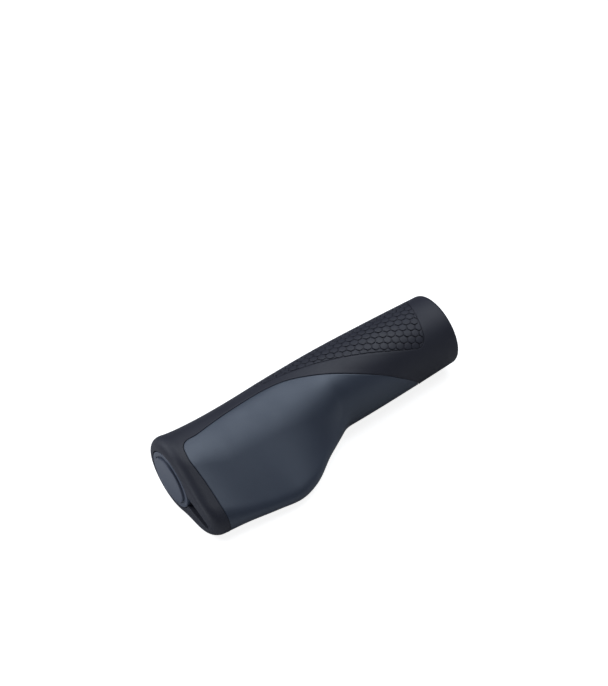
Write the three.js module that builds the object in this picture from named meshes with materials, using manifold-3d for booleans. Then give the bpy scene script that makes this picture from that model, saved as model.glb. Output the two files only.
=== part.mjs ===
// Ergonomic handlebar grip for the left hand, full length.
// Black rubber body with a wing for the palm, a soft palm pad let into it, and a plug in its outer end.
//
// Millimetres and degrees. +X runs along the bar from the closed outer end to the open inner end,
// and the origin is the middle of the face that the end of the bar stops against.
// The grip lies as it rests on a table: on its barrel and on the edge of its wing, which points to -Y.
//
// Two coordinates place everything on the skin. "at" is the distance along the bar from the outer end,
// and "turn" is the angle round the bar from the direction of the wing, positive over the top.

import * as THREE from 'three';
import { mergeVertices } from 'three/addons/utils/BufferGeometryUtils.js';
import Module from 'manifold-3d';

const wasm = await Module();
wasm.setup();

// Bar and clearances
const gripLength = 130;
const boreDiameter = 22.2;
const boreLeadIn = 0.8;
const fitGap = 0.3;

// Barrel: its radius round the bar, and where each stretch of it lies
const rimRadius = 17.8;
const rimFlareLength = 7;
const waistRadius = 15.6;
const waistStart = 18;
const waistEnd = 32;
const bellyRadius = 17;
const bellyAt = 78;
const neckRadius = 16.4;
const neckAt = 108;
const innerEndRadius = 15.6;
const rimFillet = 5;
const innerEndFillet = 1.5;

// Wing: an ellipse that reaches from inside the barrel to the wing's edge, blended into the barrel
const wingReachAtRim = 30.8;
const wingReachMiddle = 34.7;
const wingMiddleAt = 28;
const wingReachWidest = 35.9;
const widestRun = 10;
const shoulderDrop = 2.8;
const shoulderRun = 9;
const footReach = 19.9;
const footRun = 21;
const fadeReach = 6;
const fadeRun = 18;
const wingRootDepth = 8;
const wingHalfThickness = 10;
const wingHalfThicknessAtRim = 12;
const wingThickEnd = 30;
const wingSlimness = 0.8;
const wingBlend = 6;

// Palm pad: its thickness, and its two long edges as [distance from the pad's start, turn] points
const padThickness = 2;
const padStart = 5.5;
const padEnd = 113.5;
const padStartSlant = 1.6;
const padUpperEdge = [
	[ 0, 68 ],
	[ 2, 88 ],
	[ 10.5, 99 ],
	[ 35, 110 ],
	[ 50, 104.5 ],
	[ 61, 89 ],
	[ 75, 64 ],
	[ 95, 21 ],
	[ 104, - 12 ],
	[ 108, - 43 ],
];
const padLowerEdge = [
	[ 0, - 24 ],
	[ 38, - 26 ],
	[ 55, - 42 ],
	[ 75, - 58 ],
	[ 94, - 62 ],
	[ 104, - 58 ],
	[ 108, - 47 ],
];

// Honeycomb field on the neck
const cellPitch = 3.37;
const cellGroove = 0.45;
const cellDepth = 0.45;
const fieldFloor = 0.6;
const fieldBacking = 1.5;
const fieldStart = 47;
const fieldEnd = 115.4;
const fieldMiddleTurn = 135;
const fieldEndBulge = 7.5;
const fieldHalfSpan = [
	[ 0, 8 ],
	[ 4, 14 ],
	[ 10, 18 ],
	[ 40, 53.5 ],
	[ 63, 87 ],
	[ 65, 89.5 ],
	[ 67, 87.5 ],
	[ 68.4, 81 ],
];
const firstCellAt = 99.6;
const firstCellTurn = 84.7;

// Pocket in the outer end face, beside the plug
const pocketReach = 26.5;
const pocketRootHeight = 5;
const pocketTipHeight = 3;
const pocketDepth = 12;

// End plug
const plugRadius = 12.2;
const plugFlangeDepth = 3;
const plugFlangeFillet = 0.4;
const plugDiscRadius = 9.8;
const plugDiscRise = 0.8;
const plugGrooveWidth = 0.5;
const plugGrooveDepth = 0.4;
const plugSpigotLength = 6;
const plugSpigotChamfer = 0.6;

// How far the wing droops when the grip lies on a flat surface
const restDroop = 20;

// How finely the curved surfaces are divided
const stepsRound = 56;
const stationSpacing = 4;
const padStepsAlong = 32;
const padStepsAcross = 18;
const fieldStepsAlong = 14;
const fieldStepsAcross = 14;
const roundSteps = 40;
const filletSteps = 4;
const edgeCrowding = 0.55;
const endCrowding = 0.8;

const boreRadius = boreDiameter / 2;
const stopAt = plugFlangeDepth + plugSpigotLength;
const { degToRad } = THREE.MathUtils;

// A smooth curve through [place, value] points
function curveThrough( points ) {

	const places = points.map( ( [ place ] ) => place );
	const values = points.map( ( [ , value ] ) => value );
	const curve = new THREE.CubicInterpolant( places, values, 1, [ 0 ] );
	return ( place ) => curve.evaluate( place )[ 0 ];

}

// A value part of the way from one to another
function between( first, second, share ) {

	return first + ( second - first ) * share;

}

const barrelRadius = curveThrough( [
	[ 0, rimRadius ],
	[ rimFlareLength, between( rimRadius, waistRadius, 0.65 ) ],
	[ waistStart, waistRadius ],
	[ waistEnd, waistRadius ],
	[ between( waistEnd, bellyAt, 0.52 ), between( waistRadius, bellyRadius, 0.7 ) ],
	[ bellyAt, bellyRadius ],
	[ neckAt, neckRadius ],
	[ gripLength, innerEndRadius ],
] );

const widestAt = wingMiddleAt + widestRun;
const shoulderAt = widestAt + shoulderRun;
const footAt = shoulderAt + footRun;
const shoulderReach = wingReachWidest - shoulderDrop;

const wingReach = curveThrough( [
	[ 0, wingReachAtRim ],
	[ wingMiddleAt / 2, between( wingReachAtRim, wingReachMiddle, 0.38 ) ],
	[ wingMiddleAt, wingReachMiddle ],
	[ widestAt, wingReachWidest ],
	[ shoulderAt, shoulderReach ],
	[ between( shoulderAt, footAt, 0.48 ), between( shoulderReach, footReach, 0.5 ) ],
	[ footAt, footReach ],
	[ between( footAt, footAt + fadeRun, 0.45 ), between( footReach, fadeReach, 0.57 ) ],
	[ footAt + fadeRun, fadeReach ],
] );

// How far the round edges at the two ends draw the skin in
function endInset( at ) {

	const outer = Math.max( rimFillet - at, 0 );
	const inner = Math.max( at - ( gripLength - innerEndFillet ), 0 );
	return rimFillet - Math.sqrt( rimFillet ** 2 - outer ** 2 )
		+ innerEndFillet - Math.sqrt( Math.max( innerEndFillet ** 2 - inner ** 2, 0 ) );

}

// Radius of the skin from the bar's axis: the larger of barrel and wing, blended where they meet
function skinRadius( at, turn ) {

	const barrel = barrelRadius( at );
	const reach = wingReach( at );
	const thickening = Math.max( 1 - at / wingThickEnd, 0 ) ** 2;
	const fullThickness = between( wingHalfThickness, wingHalfThicknessAtRim, thickening );
	const halfLength = ( reach + wingRootDepth ) / 2;
	const centre = ( reach - wingRootDepth ) / 2;
	const halfThickness = Math.min( fullThickness, wingSlimness * reach );
	const along = Math.cos( degToRad( turn ) ) / halfLength;
	const across = Math.sin( degToRad( turn ) ) / halfThickness;
	const square = along ** 2 + across ** 2;
	const half = along * centre / halfLength;
	const rest = ( centre / halfLength ) ** 2 - 1;
	const wing = ( half + Math.sqrt( half ** 2 - square * rest ) ) / square;
	const nearness = Math.max( wingBlend - Math.abs( barrel - wing ), 0 ) / wingBlend;
	return Math.max( barrel, wing ) + nearness ** 2 * wingBlend / 4 - endInset( at );

}

// A point at a distance from the bar's axis, in the direction of a turn
function pointAt( at, turn, radius ) {

	const angle = degToRad( turn - restDroop );
	return new THREE.Vector3( at - stopAt, - radius * Math.cos( angle ), radius * Math.sin( angle ) );

}

function skinPoint( at, turn ) {

	return pointAt( at, turn, skinRadius( at, turn ) );

}

// Outward direction of the skin, from two short steps across it
function skinNormal( at, turn ) {

	const step = 0.05;
	const along = skinPoint( at + step, turn ).sub( skinPoint( at - step, turn ) );
	const round = skinPoint( at, turn + step ).sub( skinPoint( at, turn - step ) );
	return along.cross( round ).normalize();

}

// Even steps of an angle, crowded together at the wing's edge where the skin turns sharply
function crowded( angle ) {

	return angle - THREE.MathUtils.radToDeg( edgeCrowding * Math.sin( degToRad( angle ) ) );

}

// The angle that "crowded" turns into the given one
function spread( turn ) {

	let angle = turn;
	for ( let round = 0; round < 30; round ++ ) {

		angle = turn + THREE.MathUtils.radToDeg( edgeCrowding * Math.sin( degToRad( angle ) ) );

	}

	return angle;

}

// A closed geometry from vertices and faces, turned so that its faces point outwards
function closedGeometry( points, faces ) {

	const geometry = new THREE.BufferGeometry().setFromPoints( points );
	let volume = 0;
	for ( const [ a, b, c ] of faces ) {

		volume += points[ a ].dot( points[ b ].clone().cross( points[ c ] ) );

	}

	geometry.setIndex( faces.flatMap( ( [ a, b, c ] ) => ( volume > 0 ? [ a, b, c ] : [ a, c, b ] ) ) );
	return geometry;

}

// Turns a three.js geometry into a solid that can be joined and cut
function solid( geometry ) {

	const bare = geometry.clone();
	bare.deleteAttribute( 'normal' );
	bare.deleteAttribute( 'uv' );
	const merged = mergeVertices( bare, 1e-4 );
	return new wasm.Manifold( new wasm.Mesh( {
		numProp: 3,
		vertProperties: new Float32Array( merged.attributes.position.array ),
		triVerts: new Uint32Array( merged.index.array ),
	} ) );

}

function geometryOf( manifold ) {

	const mesh = manifold.getMesh();
	const geometry = new THREE.BufferGeometry();
	const places = new Float32Array( mesh.vertProperties );
	geometry.setAttribute( 'position', new THREE.BufferAttribute( places, 3 ) );
	geometry.setIndex( new THREE.BufferAttribute( new Uint32Array( mesh.triVerts ), 1 ) );
	geometry.computeVertexNormals();
	return geometry;

}

// A solid of revolution round the bar's axis from [at, radius] corners
function turned( corners ) {

	const profile = corners.map( ( [ at, radius ] ) => new THREE.Vector2( radius, at - stopAt ) );
	return new THREE.LatheGeometry( profile, roundSteps ).rotateZ( - Math.PI / 2 );

}

// Places along the bar: close together in the round edges, evenly spaced between them
function stations() {

	const fillet = ( radius ) => Array.from( { length: filletSteps }, ( _, step ) => {

		const angle = Math.PI / 2 * ( 1 - step / filletSteps );
		return radius * ( 1 - Math.sin( angle ) );

	} );
	const plainLength = gripLength - rimFillet - innerEndFillet;
	const count = Math.round( plainLength / stationSpacing );
	const plain = Array.from( { length: count + 1 }, ( _, step ) => rimFillet + plainLength * step / count );
	return [
		...fillet( rimFillet ),
		...plain,
		...fillet( innerEndFillet ).reverse().map( ( place ) => gripLength - place ),
	];

}

// The whole outer form: barrel and wing, closed by a flat face at each end
function wholeForm() {

	const rows = stations();
	const points = [ pointAt( 0, 0, 0 ), pointAt( gripLength, 0, 0 ) ];
	for ( const at of rows ) {

		for ( let step = 0; step < stepsRound; step ++ ) {

			points.push( skinPoint( at, crowded( 360 * step / stepsRound ) ) );

		}

	}

	const index = ( row, step ) => 2 + row * stepsRound + step % stepsRound;
	const last = rows.length - 1;
	const faces = [];
	for ( let step = 0; step < stepsRound; step ++ ) {

		faces.push( [ 0, index( 0, step + 1 ), index( 0, step ) ] );
		faces.push( [ 1, index( last, step ), index( last, step + 1 ) ] );
		for ( let row = 0; row < last; row ++ ) {

			faces.push( [ index( row, step ), index( row, step + 1 ), index( row + 1, step ) ] );
			faces.push( [ index( row + 1, step ), index( row, step + 1 ), index( row + 1, step + 1 ) ] );

		}

	}

	return closedGeometry( points, faces );

}

// A slab that follows the skin inside an outline, from "inner" to "outer" measured outwards from the skin.
// The outline's edges are pushed outwards along the skin by "margin".
function skinSlab( outline, inner, outer, margin ) {

	const { alongSteps, acrossSteps, place } = outline;
	const index = ( row, step ) => row * ( acrossSteps + 1 ) + step;
	const base = [];
	const normals = [];
	for ( let row = 0; row <= alongSteps; row ++ ) {

		for ( let step = 0; step <= acrossSteps; step ++ ) {

			const [ at, turn ] = place( row / alongSteps, step / acrossSteps );
			base.push( skinPoint( at, turn ) );
			normals.push( skinNormal( at, turn ) );

		}

	}

	const edge = [];
	for ( let step = 0; step < acrossSteps; step ++ ) edge.push( index( 0, step ) );
	for ( let row = 0; row < alongSteps; row ++ ) edge.push( index( row, acrossSteps ) );
	for ( let step = acrossSteps; step > 0; step -- ) edge.push( index( alongSteps, step ) );
	for ( let row = alongSteps; row > 0; row -- ) edge.push( index( row, 0 ) );

	const moved = edge.map( ( vertex, step ) => {

		const next = base[ edge[ ( step + 1 ) % edge.length ] ];
		const previous = base[ edge[ ( step + edge.length - 1 ) % edge.length ] ];
		const outwards = normals[ vertex ].clone().cross( next.clone().sub( previous ) ).normalize();
		return base[ vertex ].clone().addScaledVector( outwards, margin );

	} );
	edge.forEach( ( vertex, step ) => base[ vertex ].copy( moved[ step ] ) );

	const count = base.length;
	const points = [
		...base.map( ( point, vertex ) => point.clone().addScaledVector( normals[ vertex ], outer ) ),
		...base.map( ( point, vertex ) => point.clone().addScaledVector( normals[ vertex ], inner ) ),
	];
	const faces = [];
	for ( let row = 0; row < alongSteps; row ++ ) {

		for ( let step = 0; step < acrossSteps; step ++ ) {

			const a = index( row, step );
			const b = index( row, step + 1 );
			const c = index( row + 1, step );
			const d = index( row + 1, step + 1 );
			faces.push( [ a, b, c ], [ c, b, d ] );
			faces.push( [ count + a, count + c, count + b ], [ count + c, count + d, count + b ] );

		}

	}

	edge.forEach( ( a, step ) => {

		const b = edge[ ( step + 1 ) % edge.length ];
		faces.push( [ a, count + a, b ], [ b, count + a, count + b ] );

	} );
	return closedGeometry( points, faces );

}

// Steps from 0 to 1 that crowd together at both ends, where an outline turns its corners
function eased( share ) {

	return between( share, ( 1 - Math.cos( Math.PI * share ) ) / 2, endCrowding );

}

// Outline of the palm pad
function padOutline() {

	const upper = curveThrough( padUpperEdge );
	const lower = curveThrough( padLowerEdge );
	const place = ( alongShare, acrossShare ) => {

		const run = ( padEnd - padStart ) * eased( alongShare );
		const low = spread( lower( run ) );
		const high = spread( upper( run ) );
		const turn = crowded( low + ( high - low ) * acrossShare );
		const slant = padStartSlant * Math.cos( degToRad( turn ) ) * ( 1 - eased( alongShare ) ) ** 6;
		return [ padStart + run + slant, turn ];

	};

	return { alongSteps: padStepsAlong, acrossSteps: padStepsAcross, place };

}

// Outline of the honeycomb field: a nose towards the wing, and an end that bulges towards the inner end
function fieldOutline() {

	const halfSpan = curveThrough( fieldHalfSpan );
	const widest = Math.max( ...fieldHalfSpan.map( ( [ , span ] ) => span ) );
	const place = ( alongShare, acrossShare ) => {

		const run = ( fieldEnd - fieldStart ) * eased( alongShare );
		const side = 2 * acrossShare - 1;
		const offset = side * halfSpan( run );
		const bulge = fieldEndBulge * ( 1 - Math.abs( offset ) / widest ) * eased( alongShare ) ** 6;
		return [ fieldStart + run + bulge, fieldMiddleTurn + offset ];

	};

	return { alongSteps: fieldStepsAlong, acrossSteps: fieldStepsAcross, place };

}

// Honeycomb skin: flat-topped cells with sloping sides, which meet at the bottom of the grooves.
// Corners are counted in steps of half a corner radius along the bar and half a pitch round it.
function honeycomb() {

	const alongStep = cellPitch / Math.sqrt( 3 ) / 2;
	const turnStep = THREE.MathUtils.radToDeg( cellPitch / neckRadius ) / 2;
	const corners = [ [ 2, 0 ], [ 1, 1 ], [ - 1, 1 ], [ - 2, 0 ], [ - 1, - 1 ], [ 1, - 1 ] ];
	const topShare = 1 - cellGroove / cellPitch;
	const points = [];
	const faces = [];
	const shared = new Map();
	const edges = new Map();

	const raised = ( along, round, height ) => {

		const at = firstCellAt + along * alongStep;
		const turn = firstCellTurn + round * turnStep;
		return points.push( skinPoint( at, turn ).addScaledVector( skinNormal( at, turn ), height ) ) - 1;

	};

	const sharedCorner = ( along, round ) => {

		const key = `${ along },${ round }`;
		if ( ! shared.has( key ) ) {

			shared.set( key, [ raised( along, round, - cellDepth ), raised( along, round, - fieldBacking ) ] );

		}

		return shared.get( key );

	};

	for ( const [ along, round ] of cellCentres( alongStep, turnStep ) ) {

		const low = corners.map( ( [ a, r ] ) => sharedCorner( along + a, round + r ) );
		const top = corners.map( ( [ a, r ] ) => raised( along + a * topShare, round + r * topShare, 0 ) );
		for ( let corner = 0; corner < 6; corner ++ ) {

			const next = ( corner + 1 ) % 6;
			faces.push( [ top[ corner ], top[ next ], low[ corner ][ 0 ] ] );
			faces.push( [ top[ next ], low[ next ][ 0 ], low[ corner ][ 0 ] ] );
			const neighbours = `${ low[ next ] };${ low[ corner ] }`;
			if ( edges.has( neighbours ) ) edges.delete( neighbours );
			else edges.set( `${ low[ corner ] };${ low[ next ] }`, [ low[ corner ], low[ next ] ] );

		}

		for ( let corner = 1; corner < 5; corner ++ ) {

			faces.push( [ top[ 0 ], top[ corner + 1 ], top[ corner ] ] );
			faces.push( [ low[ 0 ][ 1 ], low[ corner ][ 1 ], low[ corner + 1 ][ 1 ] ] );

		}

	}

	for ( const [ first, second ] of edges.values() ) {

		faces.push( [ first[ 0 ], second[ 0 ], first[ 1 ] ], [ second[ 0 ], second[ 1 ], first[ 1 ] ] );

	}

	return closedGeometry( points, faces );

}

// Centres of the cells that lie in the field or cross its edge
function cellCentres( alongStep, turnStep ) {

	const halfSpan = curveThrough( fieldHalfSpan );
	const widest = Math.max( ...fieldHalfSpan.map( ( [ , span ] ) => span ) );
	const firstRow = Math.floor( ( fieldStart - firstCellAt ) / alongStep / 3 );
	const lastRow = Math.ceil( ( fieldEnd + fieldEndBulge - firstCellAt ) / alongStep / 3 );
	const cellsRound = Math.ceil( 180 / turnStep );
	const centres = [];
	for ( let row = firstRow; row <= lastRow; row ++ ) {

		const at = firstCellAt + 3 * row * alongStep;
		const run = THREE.MathUtils.clamp( at - fieldStart, 0, fieldEnd - fieldStart );
		for ( let cell = - cellsRound; cell <= cellsRound; cell ++ ) {

			const round = 2 * cell + Math.abs( row % 2 );
			const offset = Math.abs( firstCellTurn + round * turnStep - fieldMiddleTurn );
			const rowEnd = fieldEnd + fieldEndBulge * ( 1 - offset / widest ) + 2 * alongStep;
			if ( offset < halfSpan( run ) + 1.5 * turnStep && at < rowEnd ) centres.push( [ 3 * row, round ] );

		}

	}

	return centres;

}

// Bore for the bar, with a lead-in at the inner end, and the wider seat of the end plug's flange
function boreAndSeat() {

	const beyond = 5;
	const seatRadius = plugRadius + fitGap;
	const seatDepth = plugFlangeDepth + fitGap;
	return turned( [
		[ - beyond, 0 ],
		[ - beyond, seatRadius ],
		[ seatDepth, seatRadius ],
		[ seatDepth, boreRadius ],
		[ gripLength - boreLeadIn, boreRadius ],
		[ gripLength, boreRadius + boreLeadIn ],
		[ gripLength + beyond, boreRadius + boreLeadIn ],
		[ gripLength + beyond, 0 ],
	] );

}

// Tapering pocket that runs from the plug's seat out into the wing, drawn upwards and outwards
function pocket() {

	const root = plugRadius - fitGap;
	const tip = pocketTipHeight / 2;
	const outline = new THREE.Shape();
	outline.moveTo( pocketRootHeight / 2, root );
	outline.lineTo( tip, pocketReach - tip );
	outline.absarc( 0, pocketReach - tip, tip, 0, Math.PI );
	outline.lineTo( - pocketRootHeight / 2, root );
	outline.closePath();
	const beyond = 5;
	const block = new THREE.ExtrudeGeometry( outline, {
		depth: pocketDepth + beyond,
		bevelEnabled: false,
		curveSegments: 8,
	} );
	const upwards = pointAt( stopAt, 90, 1 );
	const outwards = pointAt( stopAt, 0, 1 );
	const inwards = new THREE.Vector3( 1, 0, 0 );
	block.applyMatrix4( new THREE.Matrix4().makeBasis( upwards, outwards, inwards ) );
	return block.translate( - beyond - stopAt, 0, 0 );

}

function gripBody() {

	const field = fieldOutline();
	const inField = solid( skinSlab( field, - 2 * fieldBacking, fieldBacking, - cellGroove / 2 ) );
	const cells = solid( honeycomb() ).intersect( inField );
	const body = solid( wholeForm() )
		.subtract( solid( skinSlab( field, - fieldFloor, fieldBacking, cellGroove / 2 ) ) )
		.add( cells )
		.subtract( solid( skinSlab( padOutline(), - padThickness - fitGap, padThickness, fitGap ) ) )
		.subtract( solid( pocket() ) )
		.subtract( solid( boreAndSeat() ) );
	return geometryOf( body );

}

// Round plug: a flange flush with the end face, a raised disc in its middle and a spigot in the bore
function endPlug() {

	const spigotRadius = boreRadius - fitGap;
	const grooveRadius = plugDiscRadius + plugGrooveWidth;
	return turned( [
		[ - plugDiscRise, 0 ],
		[ - plugDiscRise, plugDiscRadius - plugFlangeFillet ],
		[ - plugDiscRise + plugFlangeFillet, plugDiscRadius ],
		[ plugGrooveDepth, plugDiscRadius ],
		[ plugGrooveDepth, grooveRadius ],
		[ 0, grooveRadius ],
		[ 0, plugRadius - plugFlangeFillet ],
		[ plugFlangeFillet, plugRadius ],
		[ plugFlangeDepth, plugRadius ],
		[ plugFlangeDepth, spigotRadius ],
		[ stopAt - plugSpigotChamfer, spigotRadius ],
		[ stopAt, spigotRadius - plugSpigotChamfer ],
		[ stopAt, 0 ],
	] );

}

const blackRubber = new THREE.MeshStandardMaterial( { color: 0x2b2d33, roughness: 0.62, metalness: 0 } );
const palmRubber = new THREE.MeshStandardMaterial( { color: 0x444c5a, roughness: 0.68, metalness: 0 } );
const plugPlastic = new THREE.MeshStandardMaterial( { color: 0x33373f, roughness: 0.5, metalness: 0 } );

function part( name, geometry, material ) {

	const mesh = new THREE.Mesh( geometry, material );
	mesh.name = name;
	return mesh;

}

const grip = new THREE.Group();
grip.add( part( 'grip_body', gripBody(), blackRubber ) );
grip.add( part( 'palm_pad', skinSlab( padOutline(), - padThickness, 0, 0 ), palmRubber ) );
grip.add( part( 'end_plug', geometryOf( solid( endPlug() ) ), plugPlastic ) );

export default grip;
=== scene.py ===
"""Ergonomic handlebar grip for the left hand: its surfaces and materials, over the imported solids.

Two coordinates place everything on the skin. "at" is the distance along the bar from the closed
outer end, in millimetres, and "turn" is the angle round the bar from the direction of the wing, in
degrees, positive over the top. Surfaces are worked out in millimetres and go into their meshes in
metres.
"""

import math

import bpy
import numpy as np
from bpy.props import FloatProperty, FloatVectorProperty, PointerProperty
from bpy.types import Operator, Panel, PropertyGroup
from mathutils import Matrix, Vector


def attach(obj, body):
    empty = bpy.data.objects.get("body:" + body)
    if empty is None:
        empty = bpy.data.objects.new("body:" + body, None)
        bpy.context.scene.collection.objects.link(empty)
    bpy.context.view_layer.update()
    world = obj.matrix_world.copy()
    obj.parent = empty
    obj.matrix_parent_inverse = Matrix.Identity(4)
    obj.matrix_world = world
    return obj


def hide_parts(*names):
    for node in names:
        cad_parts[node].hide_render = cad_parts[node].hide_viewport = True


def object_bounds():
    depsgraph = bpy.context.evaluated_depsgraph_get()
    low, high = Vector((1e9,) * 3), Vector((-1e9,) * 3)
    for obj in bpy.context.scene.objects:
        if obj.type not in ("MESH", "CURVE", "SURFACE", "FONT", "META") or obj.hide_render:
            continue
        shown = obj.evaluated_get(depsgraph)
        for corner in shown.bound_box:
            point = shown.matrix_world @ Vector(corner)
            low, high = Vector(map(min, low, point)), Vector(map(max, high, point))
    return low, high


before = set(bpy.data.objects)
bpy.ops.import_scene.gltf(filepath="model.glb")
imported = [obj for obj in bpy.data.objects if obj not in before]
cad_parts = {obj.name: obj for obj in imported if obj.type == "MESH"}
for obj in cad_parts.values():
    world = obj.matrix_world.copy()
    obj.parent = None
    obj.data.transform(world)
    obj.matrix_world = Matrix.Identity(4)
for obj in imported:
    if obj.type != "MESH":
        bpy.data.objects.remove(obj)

bl_info = {
    "name": "Handlebar grip",
    "version": (1, 0, 0),
    "blender": (4, 5, 0),
    "location": "View3D > Sidebar > Grip",
    "description": "Builds a left-hand handlebar grip with a palm pad and a honeycomb field",
    "category": "Add Mesh",
}

MM = 0.001
CAD_BOX = [list(corner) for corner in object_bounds()]

# Main form: the barrel's radius and the wing's reach by distance from the outer end
GRIP_LENGTH = 130.0
STOP_AT = 9.0
REST_DROOP = 20.0
BARREL = (
    (0, 17.8), (7, 16.37), (18, 15.6), (32, 15.6), (55.92, 16.58),
    (78, 17), (108, 16.4), (130, 15.6),
)
WING = (
    (0, 30.8), (14, 32.28), (28, 34.7), (38, 35.9), (47, 33.1),
    (57.08, 26.5), (68, 19.9), (76.1, 11.98), (86, 6),
)
RIM_FILLET = 5.0
INNER_FILLET = 1.2
INNER_DROP = 0.45
WING_ROOT = 8.0
WING_HALF_THICKNESS = 10.0
WING_HALF_AT_RIM = 12.0
WING_THICK_END = 30.0
WING_HALF_TOP = 6.5
CREST_RADIUS = 31.0
CREST_RUN = 20.0
CREST_AT_RIM = 0.3
WING_SLIMNESS = 0.8
WING_BLEND = 6.0

# Palm pad: its long edges as (distance from its start, turn), and the room left under it
PAD_START = 4.7
PAD_END = 113.5
PAD_SLANT = 2.4
PAD_CORNER = 0.9
PAD_ROOM = 0.2
PAD_UPPER = (
    (0, 68), (2, 88), (10.5, 99), (35, 110), (50, 104.5),
    (61, 89), (75, 64), (95, 21), (104, -12), (108, -43),
)
PAD_LOWER = ((0, -24), (38, -26), (55, -42), (75, -58), (94, -62), (104, -58), (108, -47))

# Honeycomb field: half its span in degrees, by distance from its start
FIELD_START = 47.0
FIELD_END = 115.4
FIELD_MIDDLE = 135.0
FIELD_BULGE = 7.5
FIELD_CORNER = 0.7
FIELD_HALF_SPAN = (
    (0, 8), (4, 14), (10, 18), (40, 53.5), (63, 87),
    (65, 89.5), (67, 87.5), (68.4, 81),
)
NECK_RADIUS = 16.4
FIRST_CELL_AT = 98.94
FIRST_CELL_TURN = 84.6
CELL_STRETCH = 1.08
CELL_CORNER_SHARE = 0.965
SMALLEST_CELL_SHARE = 0.02
WHOLE_CELL_SHARE = 0.999

# Bore, seat of the plug, and the pocket beside it
BORE_RADIUS = 11.1
BORE_LEAD_IN = 0.8
SEAT_RADIUS = 12.5
SEAT_DEPTH = 3.3
POCKET_ROOT = 11.9
POCKET_ROOT_HALF = 3.6
POCKET_TIP_HALF = 2.0
POCKET_REACH = 26.5
POCKET_DEPTH = 12.0
MOUTH_EDGE = 0.25
MOUTH_WALL = 0.3

# End plug
PLUG_RADIUS = 12.2
PLUG_DISC_RADIUS = 9.8
PLUG_DISC_RISE = 0.8
PLUG_FLANGE = 3.0
PLUG_SPIGOT_RADIUS = 10.8

# Camera, as measured in the photograph: millimetres, degrees and pixels
CAMERA_PLACE = (-162.6, -450.8, 366.2)
CAMERA_AIM = (65.3, 9.7, 19.2)
CAMERA_ROLL = 13.4
FOCAL_PIXELS = 1551.0
PHOTO_WIDTH = 608.0
SENSOR_WIDTH = 36.0

# Stage: each lamp's name, place and size in millimetres, and watts
COOL_WHITE = (0.88, 0.93, 1.0)
LAMP_AIM = (55, -5, 0)
LAMPS = (
    ("overhead_behind", (245, 324, 816), (450, 450), 1.8),
    ("overhead_right", (448, -190, 790), (600, 600), 4.0),
    ("left_behind", (-432, 483, 579), (450, 450), 3.5),
    ("left_side", (-830, -129, 110), (450, 180), 1.95),
)
ROOM_LIGHT = 0.04
FLOOR_HALF_WIDTH = 1.0
FLOOR_SHADE = 0.56
FLOOR_GLOW = 0.87

# Range of a noise texture's values that the materials use, and how far roughness changes with it
NOISE_LOW = 0.3
NOISE_HIGH = 0.7
ROUGHNESS_CHANGE = 0.05


class GripSizes(PropertyGroup):
    """Small sizes of the grip's finish."""

    lip_height: FloatProperty(
        name="Lip height",
        description="How far the black lip stands up round the palm pad",
        default=0.00008,
        min=0.0,
        max=0.0005,
        unit="LENGTH",
    )
    pad_gap: FloatProperty(
        name="Pad gap",
        description="Width of the groove between the palm pad and the lip",
        default=0.0001,
        min=0.00005,
        max=0.001,
        unit="LENGTH",
    )
    pad_edge: FloatProperty(
        name="Pad edge",
        description="Width of the rounded edge of the palm pad",
        default=0.0005,
        min=0.0001,
        max=0.003,
        unit="LENGTH",
    )
    pad_thickness: FloatProperty(
        name="Pad thickness",
        description="Depth of the palm pad below the skin",
        default=0.0018,
        min=0.0005,
        max=0.002,
        unit="LENGTH",
    )
    cell_pitch: FloatProperty(
        name="Cell pitch",
        description="Distance between the middles of two neighbouring cells",
        default=0.00317,
        min=0.001,
        max=0.01,
        unit="LENGTH",
    )
    cell_groove: FloatProperty(
        name="Cell groove",
        description="Width of the groove between two cells",
        default=0.00028,
        min=0.0001,
        max=0.002,
        unit="LENGTH",
    )
    cell_depth: FloatProperty(
        name="Cell depth",
        description="Depth of the honeycomb's floor below the skin",
        default=0.00042,
        min=0.0001,
        max=0.001,
        unit="LENGTH",
    )


class GripColours(PropertyGroup):
    """Colours of the grip's materials."""

    body: FloatVectorProperty(
        name="Body",
        description="Colour of the black rubber",
        default=(0.014, 0.016, 0.029),
        subtype="COLOR",
        size=3,
        min=0.0,
        max=1.0,
    )
    pad: FloatVectorProperty(
        name="Palm pad",
        description="Colour of the blue-grey palm pad",
        default=(0.026, 0.035, 0.058),
        subtype="COLOR",
        size=3,
        min=0.0,
        max=1.0,
    )
    plug: FloatVectorProperty(
        name="End plug",
        description="Colour of the plug's plastic",
        default=(0.065, 0.078, 0.114),
        subtype="COLOR",
        size=3,
        min=0.0,
        max=1.0,
    )


def smooth_curve(points):
    """A cubic through (place, value) points, whose slope at each is the mean of the two beside
    it."""
    places, values = np.array(points, float).T
    secants = np.diff(values) / np.diff(places)
    slopes = np.concatenate((secants[:1], (secants[:-1] + secants[1:]) / 2, secants[-1:]))

    def value(place):
        inside = np.clip(place, places[0], places[-1])
        low = np.clip(np.searchsorted(places, inside, side="right") - 1, 0, len(places) - 2)
        run = places[low + 1] - places[low]
        share = (inside - places[low]) / run
        rest = 1 - share
        start = (1 + 2 * share) * rest**2 * values[low] + share * rest**2 * run * slopes[low]
        end = (1 + 2 * rest) * share**2 * values[low + 1] - rest * share**2 * run * slopes[low + 1]
        return start + end

    return value


barrel_radius = smooth_curve(BARREL)
wing_reach = smooth_curve(WING)


def end_inset(at):
    """How far the rounded ends draw the skin in: a quarter circle at the rim, and a quarter ellipse
    at the inner end, longer along the bar than it is deep."""
    outer = np.clip(1 - at / RIM_FILLET, 0, 1)
    inner = np.clip((at - GRIP_LENGTH) / INNER_FILLET + 1, 0, 1)
    return RIM_FILLET * (1 - np.sqrt(1 - outer**2)) + INNER_DROP * (1 - np.sqrt(1 - inner**2))


def ramp(value, start, end):
    """Smooth rise from 0 at start to 1 at end, with level ends."""
    share = np.clip((value - start) / (end - start), 0, 1)
    return share**2 * (3 - 2 * share)


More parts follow.
